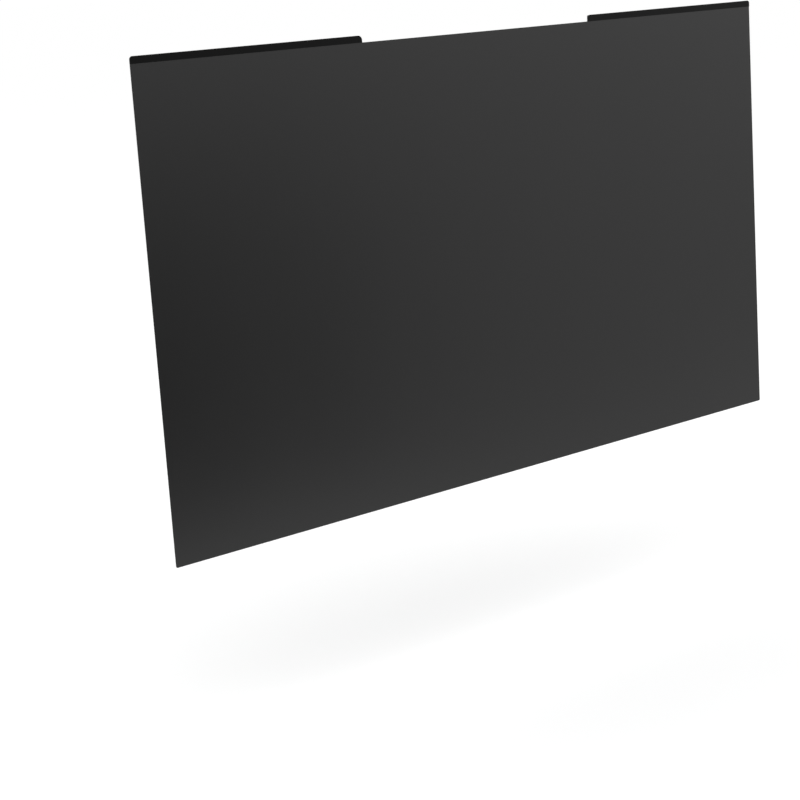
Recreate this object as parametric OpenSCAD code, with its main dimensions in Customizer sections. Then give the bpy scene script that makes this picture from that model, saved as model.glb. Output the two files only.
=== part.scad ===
// Privacy filter of the 24 inch 16:9 size.
// One louvred film with two short tabs on its top edge. Each tab carries a
// black face strip in front and a flexible magnet bar behind, so the filter
// hangs from its two magnet bars and lifts off without a joint.
//
// Axes: X runs along the width, to the viewer's right. The face that the
// viewer sees looks along -Y, and +Z is up. The origin is midway between the
// two magnet bars, on the plane of their rear faces.

/* [Film] */
// Width of the film, side edge to side edge
film_w = 543; // [450:1:620]
// Height of the film below the tabs
film_h = 300; // [240:1:360]
// Thickness of the laminated film
film_t = 0.55; // [0.3:0.05:1]
// Radius of the two lower corners of the film
film_corner_r = 1; // [0.5:0.25:4]

/* [Tabs] */
// Length of each tab, and of the face strip on it
tab_l = 171; // [120:0.5:200]
// Height of each tab above the top edge of the film
tab_h = 4.4; // [4:0.1:8]
// Radius of the upper corner of each tab beside the gap
tab_inner_r = 3; // [1:0.25:3.5]
// Radius of the upper corner of each tab at the side edge of the film
tab_outer_r = 2; // [1:0.25:3.5]
// Radius in the inner corner where a tab meets the top edge
tab_root_r = 0.5; // [0.25:0.25:1]

/* [Face strips] */
// Thickness of each face strip
face_t = 0.25; // [0.15:0.05:0.8]

/* [Magnet bars] */
// Height of each magnet bar
magnet_h = 4; // [2:0.1:4]
// Thickness of each magnet bar
magnet_t = 1; // [0.5:0.1:2]
// How far each end of a magnet bar stays back from the end of its tab
magnet_inset = 1.25; // [0.5:0.25:4]
// Radius of the two upper corners of each magnet bar
magnet_corner_r = 1.25; // [0.25:0.25:1.5]

/* [Bonding tapes] */
// Thickness of the double-sided tape between a tab and its magnet bar
tape_t = 0.15; // [0.05:0.05:0.5]
// How far the edge of a tape stays back from the edge of its magnet bar
tape_inset = 0.2; // [0.1:0.05:0.5]

/* [Hidden] */
$fn = 48;

// The layers are stacked from the rear faces of the magnet bars, y = 0,
// towards the viewer.
film_back_y = -magnet_t - tape_t;
film_front_y = film_back_y - film_t;
// The magnet bars are centred on the height of the tabs, at z = 0.
film_top_z = -tab_h / 2;
tab_x = film_w / 2 - tab_l;
tape_corner_r = max(magnet_corner_r - tape_inset, 0.05);

// A plate outline with its lower left corner at the origin. r_left and r_right
// round its two upper corners and r_low its two lower ones; a radius of 0
// stays sharp.
module plate_outline(w, h, r_left, r_right, r_low) {
    difference() {
        square([w, h]);
        if (r_left > 0)
            translate([0, h]) mirror([0, 1]) corner_cut(r_left);
        if (r_right > 0)
            translate([w, h]) mirror([0, 1]) mirror([1, 0])
                corner_cut(r_right);
        if (r_low > 0) {
            corner_cut(r_low);
            translate([w, 0]) mirror([1, 0]) corner_cut(r_low);
        }
    }
}

// What is cut away to round the corner at the origin of a plate that lies in
// +X and +Y.
module corner_cut(r) {
    difference() {
        translate([-1, -1]) square(r + 1);
        translate([r, r]) circle(r = r);
    }
}

// Material left in the inner corner at the origin, in +X and +Y. It reaches
// back by r past both edges of that corner, so that it joins them.
module root_fillet(r) {
    difference() {
        translate([-r, -r]) square(2 * r);
        translate([r, r]) circle(r = r);
    }
}

// Stands an outline drawn in X and Z upright, from y_back forwards by t.
module upright(y_back, t) {
    translate([0, y_back, 0]) rotate([90, 0, 0]) linear_extrude(height = t)
        children();
}

// Repeats its children, drawn for the right hand side, on the left as well.
module both_sides() {
    children();
    mirror([1, 0]) children();
}

// Film outline: the viewing area and both tabs are one die cut piece.
module film_outline() {
    union() {
        translate([-film_w / 2, film_top_z - film_h])
            plate_outline(film_w, film_h, 0, 0, film_corner_r);
        both_sides() {
            // The tab reaches 1 mm down into the film so that they join.
            translate([tab_x, film_top_z - 1])
                plate_outline(tab_l, tab_h + 1, tab_inner_r, tab_outer_r, 0);
            translate([tab_x, film_top_z]) mirror([1, 0])
                root_fillet(tab_root_r);
        }
    }
}

module filter_film() {
    color([0.21, 0.21, 0.215, 0.97])
        upright(film_back_y, film_t) film_outline();
}

// Face strips: thin black plastic on the front of the tabs. Their lower edge
// runs along the line of the film's top edge.
module face_strip() {
    upright(film_front_y, face_t)
        translate([tab_x, film_top_z])
            plate_outline(tab_l, tab_h, tab_inner_r, tab_outer_r, 0);
}

module right_face_strip() {
    color([0.07, 0.07, 0.07]) face_strip();
}

module left_face_strip() {
    color([0.07, 0.07, 0.07]) mirror([1, 0, 0]) face_strip();
}

// Magnet bars: flexible magnet strip, whose rear face holds the filter up.
module magnet_bar() {
    upright(0, magnet_t)
        translate([tab_x + magnet_inset, -magnet_h / 2])
            plate_outline(tab_l - 2 * magnet_inset, magnet_h,
                          magnet_corner_r, magnet_corner_r, 0);
}

module right_magnet_bar() {
    color([0.12, 0.10, 0.09]) magnet_bar();
}

module left_magnet_bar() {
    color([0.12, 0.10, 0.09]) mirror([1, 0, 0]) magnet_bar();
}

// Bonding tapes: double-sided tape between the film's tab and the magnet bar.
module bond_tape() {
    upright(-magnet_t, tape_t)
        translate([tab_x + magnet_inset + tape_inset,
                   -magnet_h / 2 + tape_inset])
            plate_outline(tab_l - 2 * magnet_inset - 2 * tape_inset,
                          magnet_h - 2 * tape_inset,
                          tape_corner_r, tape_corner_r, 0);
}

module right_bond_tape() {
    color([0.75, 0.74, 0.70]) bond_tape();
}

module left_bond_tape() {
    color([0.75, 0.74, 0.70]) mirror([1, 0, 0]) bond_tape();
}

filter_film();
left_face_strip();
right_face_strip();
left_magnet_bar();
right_magnet_bar();
left_bond_tape();
right_bond_tape();
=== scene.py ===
"""Looks of the privacy filter: the finish of the louvred film, of its black
face strips, and of the magnet bars and bonding tapes behind them, in soft
studio light over a plain pale floor. Metres, in the part's own frame."""

import bpy
from mathutils import Matrix, Vector


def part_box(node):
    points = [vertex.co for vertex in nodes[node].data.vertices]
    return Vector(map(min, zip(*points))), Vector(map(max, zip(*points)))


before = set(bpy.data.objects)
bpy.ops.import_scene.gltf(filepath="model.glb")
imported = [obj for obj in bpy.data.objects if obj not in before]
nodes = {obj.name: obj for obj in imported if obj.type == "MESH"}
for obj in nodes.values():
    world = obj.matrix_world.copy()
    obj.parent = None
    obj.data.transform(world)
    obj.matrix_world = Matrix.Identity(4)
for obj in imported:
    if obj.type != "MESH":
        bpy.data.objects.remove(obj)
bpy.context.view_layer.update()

# ---------------------------------------------------------------- node tools


def new_material(name):
    mat = bpy.data.materials.new(name)
    mat.use_nodes = True
    tree = mat.node_tree
    tree.nodes.clear()
    out = tree.nodes.new("ShaderNodeOutputMaterial")
    bsdf = tree.nodes.new("ShaderNodeBsdfPrincipled")
    tree.links.new(bsdf.outputs["BSDF"], out.inputs["Surface"])
    return mat, tree, bsdf


class Graph:
    """Small helpers that keep the node graphs below readable."""

    def __init__(self, tree):
        self.tree = tree
        self.coord = tree.nodes.new("ShaderNodeTexCoord")

    def node(self, kind, **settings):
        n = self.tree.nodes.new(kind)
        for key, value in settings.items():
            setattr(n, key, value)
        return n

    def feed(self, socket, value):
        if isinstance(value, bpy.types.NodeSocket):
            self.tree.links.new(value, socket)
        else:
            socket.default_value = value

    def math(self, op, a, b=None, c=None, clamp=False):
        n = self.node("ShaderNodeMath", operation=op, use_clamp=clamp)
        for i, v in enumerate((a, b, c)):
            if v is not None:
                self.feed(n.inputs[i], v)
        return n.outputs[0]

    def split(self, vector):
        n = self.node("ShaderNodeSeparateXYZ")
        self.feed(n.inputs[0], vector)
        return n.outputs

    def scaled(self, x, y, z, turn=(0, 0, 0)):
        """The piece's own coordinates, in metres, times x, y and z."""
        n = self.node("ShaderNodeMapping")
        self.feed(n.inputs["Vector"], self.coord.outputs["Object"])
        n.inputs["Scale"].default_value = (x, y, z)
        n.inputs["Rotation"].default_value = turn
        return n.outputs[0]

    def noise(self, vector, scale, detail=2.0, rough=0.5, distort=0.0):
        n = self.node("ShaderNodeTexNoise", noise_dimensions="3D")
        self.feed(n.inputs["Vector"], vector)
        n.inputs["Scale"].default_value = scale
        n.inputs["Detail"].default_value = detail
        n.inputs["Roughness"].default_value = rough
        n.inputs["Distortion"].default_value = distort
        return n.outputs["Fac"]

    def spots(self, vector, scale):
        n = self.node("ShaderNodeTexVoronoi", feature="F1")
        self.feed(n.inputs["Vector"], vector)
        n.inputs["Scale"].default_value = scale
        return n.outputs["Distance"]

    def span(self, value, a, b, lo=0.0, hi=1.0, smooth=True):
        """value from a to b becomes lo to hi, and stays there outside."""
        n = self.node(
            "ShaderNodeMapRange",
            interpolation_type="SMOOTHSTEP" if smooth else "LINEAR",
            clamp=True,
        )
        self.feed(n.inputs["Value"], value)
        n.inputs["From Min"].default_value = a
        n.inputs["From Max"].default_value = b
        n.inputs["To Min"].default_value = lo
        n.inputs["To Max"].default_value = hi
        return n.outputs["Result"]

    def blend(self, factor, a, b):
        """Colour a at factor 0 and b at factor 1."""
        n = self.node("ShaderNodeMix", data_type="RGBA", clamp_factor=True)
        self.feed(n.inputs["Factor"], factor)
        for socket, value in ((n.inputs[6], a), (n.inputs[7], b)):
            self.feed(socket, (*value, 1.0) if isinstance(value, tuple) else value)
        return n.outputs[2]

    def mix(self, factor, a, b):
        """Number a at factor 0 and b at factor 1."""
        n = self.node("ShaderNodeMix", data_type="FLOAT", clamp_factor=True)
        self.feed(n.inputs["Factor"], factor)
        self.feed(n.inputs[2], a)
        self.feed(n.inputs[3], b)
        return n.outputs[0]

    def bump(self, height, strength, distance, normal=None):
        n = self.node("ShaderNodeBump")
        n.inputs["Strength"].default_value = strength
        n.inputs["Distance"].default_value = distance
        self.feed(n.inputs["Height"], height)
        if normal is not None:
            self.feed(n.inputs["Normal"], normal)
        return n.outputs[0]

    def border(self, x0, x1, z0, z1):
        """Distance in from the edge of a plate that spans x0 to x1 and z0 to z1."""
        p = self.split(self.coord.outputs["Object"])
        dx = self.math(
            "SUBTRACT",
            (x1 - x0) / 2,
            self.math("ABSOLUTE", self.math("SUBTRACT", p[0], (x0 + x1) / 2)),
        )
        dz = self.math(
            "SUBTRACT",
            (z1 - z0) / 2,
            self.math("ABSOLUTE", self.math("SUBTRACT", p[2], (z0 + z1) / 2)),
        )
        return self.math("MINIMUM", dx, dz)

    def facing(self):
        """1 on faces that look along the part's Y, either way, 0 on its edges;
        and 1 on the rear faces only."""
        n = self.split(self.coord.outputs["Normal"])
        flat = self.span(self.math("ABSOLUTE", n[1]), 0.5, 0.9)
        rear = self.span(n[1], 0.5, 0.9)
        return flat, rear


def dress(names, mat):
    for name in names:
        mesh = nodes[name].data
        mesh.materials.clear()
        mesh.materials.append(mat)
        nodes[name].active_material_index = 0


# ------------------------------------------------------------- louvred film
# The viewer's side is a dark, neutral, anti-glare satin; the rear is the
# glossier side. The louvres run down the sheet, which shows as very faint
# upright streaks. The die cut edges are the louvres' own black.

low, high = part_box("filter_film")
gap_x, film_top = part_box("right_face_strip")[0].x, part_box("right_face_strip")[0].z

film_mat, tree, bsdf = new_material("louvre_film")
g = Graph(tree)
flat, rear = g.facing()
p = g.split(g.coord.outputs["Object"])
# The outline steps down between the tabs, so its rim follows that step too.
step = g.math(
    "MAXIMUM",
    g.math("SUBTRACT", film_top, p[2]),
    g.math("SUBTRACT", g.math("ABSOLUTE", p[0]), gap_x),
)
inset = g.math("MINIMUM", g.border(low.x, high.x, low.z, high.z), step)
rim = g.span(inset, 0.00015, 0.00075)

streak = g.noise(g.scaled(1.0, 1.0, 0.004), 900.0, 3.0, 0.6)
cloud = g.noise(g.scaled(1.0, 1.0, 1.0), 9.0, 3.0, 0.55)
grain = g.noise(g.scaled(1.0, 1.0, 1.0), 2200.0, 2.0, 0.7)

tone = g.math(
    "ADD",
    g.math("MULTIPLY", g.math("SUBTRACT", streak, 0.5), 0.9),
    g.math("MULTIPLY", g.math("SUBTRACT", cloud, 0.5), 0.5),
)
body = g.blend(
    g.math("ADD", tone, 0.5, clamp=True),
    (0.0052, 0.0052, 0.0053),
    (0.0076, 0.0076, 0.0077),
)
body = g.blend(grain, body, (0.0064, 0.0064, 0.0065))
body = g.blend(rear, body, (0.0060, 0.0060, 0.0062))
edge_black = (0.0030, 0.0030, 0.0031)
colour = g.blend(g.math("MULTIPLY", flat, rim), edge_black, body)
g.feed(bsdf.inputs["Base Color"], colour)

rough_front = g.math("MULTIPLY_ADD", g.math("SUBTRACT", cloud, 0.5), 0.06, 0.33)
rough_front = g.math(
    "MULTIPLY_ADD", g.math("SUBTRACT", grain, 0.5), 0.05, rough_front
)
rough_rear = g.math("MULTIPLY_ADD", g.math("SUBTRACT", cloud, 0.5), 0.05, 0.22)
rough = g.mix(rear, rough_front, rough_rear)
g.feed(bsdf.inputs["Roughness"], g.mix(flat, 0.62, rough))
bsdf.inputs["IOR"].default_value = 1.5
bsdf.inputs["Specular IOR Level"].default_value = 0.45
bsdf.inputs["Alpha"].default_value = 0.987

coarse = g.noise(g.scaled(1.0, 1.0, 1.0), 620.0, 2.0, 0.6)
height = g.math("ADD", g.math("MULTIPLY", grain, 0.6), g.math("MULTIPLY", coarse, 0.4))
height = g.math("MULTIPLY", height, g.mix(rear, 1.0, 0.15))
normal = g.bump(height, 0.10, 0.00002)
g.feed(bsdf.inputs["Normal"], normal)
dress(["filter_film"], film_mat)

# -------------------------------------------------------------- face strips
# Thin black plastic with a fine embossed grain; along its border it is glossier and darker in
# colour.


def strip_material(node):
    lo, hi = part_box(node)
    mat, tree, bsdf = new_material("face_strip_" + node.split("_")[0])
    g = Graph(tree)
    flat, _ = g.facing()
    inner = g.span(g.border(lo.x, hi.x, lo.z, hi.z), 0.00005, 0.00045)
    leather = g.spots(g.scaled(1.0, 1.0, 1.0), 2600.0)
    fine = g.noise(g.scaled(1.0, 1.0, 1.0), 3400.0, 2.0, 0.6)
    drift = g.noise(g.scaled(1.0, 1.0, 1.0), 24.0, 3.0, 0.55)
    scuff = g.noise(g.scaled(0.25, 1.0, 2.5, (0, 0.12, 0)), 900.0, 3.0, 0.65)
    base = g.blend(drift, (0.0009, 0.0009, 0.0009), (0.0016, 0.0016, 0.0016))
    base = g.blend(
        g.math("MULTIPLY", g.span(scuff, 0.60, 0.78), 0.5), base, (0.0040, 0.0040, 0.0041)
    )
    base = g.blend(g.math("MULTIPLY", flat, inner), (0.0008, 0.0008, 0.0008), base)
    g.feed(bsdf.inputs["Base Color"], base)
    rough = g.math("MULTIPLY_ADD", g.math("SUBTRACT", drift, 0.5), 0.08, 0.34)
    rough = g.math("MULTIPLY_ADD", g.math("SUBTRACT", fine, 0.5), 0.10, rough)
    g.feed(bsdf.inputs["Roughness"], g.mix(inner, 0.26, rough))
    bsdf.inputs["IOR"].default_value = 1.46
    bsdf.inputs["Specular IOR Level"].default_value = 0.13
    height = g.math("ADD", g.math("MULTIPLY", leather, 0.7), g.math("MULTIPLY", fine, 0.3))
    g.feed(bsdf.inputs["Normal"], g.bump(height, 0.12, 0.00003))
    dress([node], mat)


for name in ("left_face_strip", "right_face_strip"):
    strip_material(name)

# -------------------------------------------------------------- magnet bars
# Calendered flexible magnet: ferrite powder in rubber, with rolling lines
# along its length and a dull bloom.


def magnet_material(node):
    lo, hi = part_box(node)
    mat, tree, bsdf = new_material("magnet_" + node.split("_")[0])
    g = Graph(tree)
    # border is 0 at the bar's rim, which gets a painted highlight in colour and a glossier
    # finish.
    border = g.span(g.border(lo.x, hi.x, lo.z, hi.z), 0.00002, 0.0004)
    roll = g.noise(g.scaled(0.03, 1.0, 1.0), 2400.0, 3.0, 0.6)
    powder = g.noise(g.scaled(1.0, 1.0, 1.0), 5200.0, 2.0, 0.75)
    bloom = g.noise(g.scaled(1.0, 1.0, 1.0), 70.0, 4.0, 0.6)
    base = g.blend(powder, (0.0055, 0.0046, 0.0040), (0.0150, 0.0128, 0.0113))
    base = g.blend(
        g.math("MULTIPLY", g.span(bloom, 0.48, 0.75), 0.35), base, (0.026, 0.023, 0.021)
    )
    base = g.blend(
        g.math("MULTIPLY", g.span(roll, 0.55, 0.75), 0.4), base, (0.0042, 0.0035, 0.0031)
    )
    # The lighter colour along the bar's border is a painted highlight.
    base = g.blend(border, (0.032, 0.028, 0.025), base)
    g.feed(bsdf.inputs["Base Color"], base)
    rough = g.math("MULTIPLY_ADD", g.math("SUBTRACT", bloom, 0.5), 0.22, 0.60)
    rough = g.math("MULTIPLY_ADD", g.math("SUBTRACT", powder, 0.5), 0.12, rough)
    g.feed(bsdf.inputs["Roughness"], g.mix(border, 0.46, rough))
    bsdf.inputs["Specular IOR Level"].default_value = 0.12
    height = g.math("ADD", g.math("MULTIPLY", roll, 0.6), g.math("MULTIPLY", powder, 0.4))
    g.feed(bsdf.inputs["Normal"], g.bump(height, 0.35, 0.00006))
    dress([node], mat)


for name in ("left_magnet_bar", "right_magnet_bar"):
    magnet_material(name)

# ------------------------------------------------------------ bonding tapes
# Double-sided acrylic tape: milky, with tiny trapped bubbles.


def tape_material(node):
    mat, tree, bsdf = new_material("bond_tape_" + node.split("_")[0])
    g = Graph(tree)
    milk = g.noise(g.scaled(1.0, 1.0, 1.0), 260.0, 3.0, 0.6)
    bubble = g.span(g.spots(g.scaled(1.0, 1.0, 1.0), 1900.0), 0.10, 0.28)
    base = g.blend(milk, (0.46, 0.445, 0.40), (0.63, 0.62, 0.58))
    base = g.blend(bubble, (0.70, 0.69, 0.66), base)
    g.feed(bsdf.inputs["Base Color"], base)
    g.feed(
        bsdf.inputs["Roughness"],
        g.math("MULTIPLY_ADD", g.math("SUBTRACT", milk, 0.5), 0.2, 0.48),
    )
    g.feed(bsdf.inputs["Normal"], g.bump(bubble, 0.2, 0.00002))
    dress([node], mat)


for name in ("left_bond_tape", "right_bond_tape"):
    tape_material(name)

# ------------------------------------------------------------ floor and air

FLOOR_Z = -0.432


def stage_plane(name, size, centre, shade, rough):
    x, y, z = centre
    s = size / 2
    mesh = bpy.data.meshes.new(name)
    mesh.from_pydata(
        [(x - s, y - s, z), (x + s, y - s, z), (x + s, y + s, z), (x - s, y + s, z)],
        [],
        [(0, 1, 2, 3)],
    )
    obj = bpy.data.objects.new(name, mesh)
    bpy.context.scene.collection.objects.link(obj)
    mat, tree, bsdf = new_material(name)
    bsdf.inputs["Base Color"].default_value = (*shade, 1.0)
    bsdf.inputs["Roughness"].default_value = rough
    bsdf.inputs["Specular IOR Level"].default_value = 0.0
    mesh.materials.append(mat)
    return obj


stage_plane("floor", 300.0, (0, 0, FLOOR_Z), (0.97, 0.97, 0.97), 0.9)

world = bpy.data.worlds.new("studio")
bpy.context.scene.world = world
world.use_nodes = True
world.node_tree.nodes["Background"].inputs["Color"].default_value = (1, 1, 1, 1)
world.node_tree.nodes["Background"].inputs["Strength"].default_value = 1.03


def softbox(name, centre, target, width, height, power):
    data = bpy.data.lights.new(name, "AREA")
    data.shape = "RECTANGLE"
    data.size, data.size_y = width, height
    data.energy = power
    obj = bpy.data.objects.new(name, data)
    bpy.context.scene.collection.objects.link(obj)
    obj.location = centre
    aim = (Vector(target) - Vector(centre)).normalized()
    obj.rotation_euler = aim.to_track_quat("-Z", "Y").to_euler()
    return obj


softbox("key_box", (-1.1, -1.0, 2.0), (0.05, 0.1, FLOOR_Z), 1.7, 1.7, 12.0)
softbox("top_box", (0.1, 0.5, 2.2), (0, 0.2, FLOOR_Z), 2.2, 1.6, 5.0)


def glossy_only(name, corners, faces, level):
    """A softbox with a graded front, which only shows in gloss. level turns
    its coordinates into the strength of its glow."""
    mesh = bpy.data.meshes.new(name)
    mesh.from_pydata(corners, [], faces)
    obj = bpy.data.objects.new(name, mesh)
    bpy.context.scene.collection.objects.link(obj)
    mat = bpy.data.materials.new(name)
    mat.use_nodes = True
    tree = mat.node_tree
    tree.nodes.clear()
    g = Graph(tree)
    out = tree.nodes.new("ShaderNodeOutputMaterial")
    glow = tree.nodes.new("ShaderNodeEmission")
    tree.links.new(glow.outputs[0], out.inputs["Surface"])
    g.feed(glow.inputs["Strength"], level(g, g.split(g.coord.outputs["Object"])))
    mesh.materials.append(mat)
    obj.visible_camera = False
    obj.visible_diffuse = False
    obj.visible_transmission = False
    obj.visible_volume_scatter = False
    obj.visible_shadow = False


CARD_Y = -0.46
REAR_Y = 0.60
CARD_FOOT = FLOOR_Z + 0.002


def front_level(g, p):
    """Dim opposite the part's left, full opposite its right."""
    # Height on the front; on the foot it goes on down, towards the part.
    s = g.math("SUBTRACT", p[2], g.math("SUBTRACT", p[1], CARD_Y))
    dim = g.math(
        "ADD",
        g.math("ADD", g.span(s, -0.32, 0.00, 0.02, 0.60), g.span(s, -0.05, 0.05, 0.0, 0.44)),
        g.span(s, -0.41, -0.53, 0.0, 1.30),
    )
    full = g.math(
        "ADD",
        g.math("ADD", g.span(s, -0.54, -0.41, 0.86, 0.62), g.span(s, -0.40, -0.05, 0.0, 0.18)),
        g.span(s, -0.05, 0.05, 0.0, 0.30),
    )
    level = g.mix(g.span(p[0], -0.06, 0.46), dim, full)
    return g.math("MAXIMUM", level, g.span(p[0], -0.25, -0.95, 0.0, 0.8))


def rear_level(g, p):
    """Full opposite the part's left, easing off to its right and downwards."""
    s = g.math("ADD", p[2], g.math("SUBTRACT", p[1], REAR_Y))
    across = g.span(p[0], -0.85, 0.85, 1.05, 0.40)
    return g.math("MULTIPLY", across, g.span(s, -1.0, 0.4, 0.80, 1.10))


glossy_only(
    "front_card",
    [
        (-1.6, CARD_Y, CARD_FOOT), (2.6, CARD_Y, CARD_FOOT),
        (2.6, CARD_Y, 1.2), (-1.6, CARD_Y, 1.2),
        (2.6, -0.03, CARD_FOOT), (-1.6, -0.03, CARD_FOOT),
    ],
    [(0, 1, 2, 3), (0, 1, 4, 5)],
    front_level,
)
glossy_only(
    "rear_card",
    [
        (-2.6, REAR_Y, CARD_FOOT), (2.6, REAR_Y, CARD_FOOT),
        (2.6, REAR_Y, 1.4), (-2.6, REAR_Y, 1.4),
        (2.6, 0.03, CARD_FOOT), (-2.6, 0.03, CARD_FOOT),
    ],
    [(0, 1, 2, 3), (0, 1, 4, 5)],
    rear_level,
)

# ------------------------------------------------------------------- camera
# The photograph's own camera: fitted place, turn and focal length, with the
# small shift that its framing has.

RIGHT = Vector((0.7606099, -0.6459544, -0.0649274))
DOWN = Vector((-0.1822493, -0.1164634, -0.9763306))
AHEAD = Vector((0.6231034, 0.7544397, -0.2063080))
camera_data = bpy.data.cameras.new("camera")
camera_data.lens = 87.7753
camera_data.sensor_width = 36.0
camera_data.shift_x = -0.0005376
camera_data.shift_y = -0.0155606
camera_data.clip_start = 0.01
camera_data.clip_end = 1000.0
camera = bpy.data.objects.new("camera", camera_data)
bpy.context.scene.collection.objects.link(camera)
turn = Matrix((RIGHT, -DOWN, -AHEAD)).transposed()
camera.matrix_world = Matrix.Translation((-0.880188, -0.960828, 0.037148)) @ turn.to_4x4()
bpy.context.scene.camera = camera
bpy.context.scene.view_settings.view_transform = "Standard"
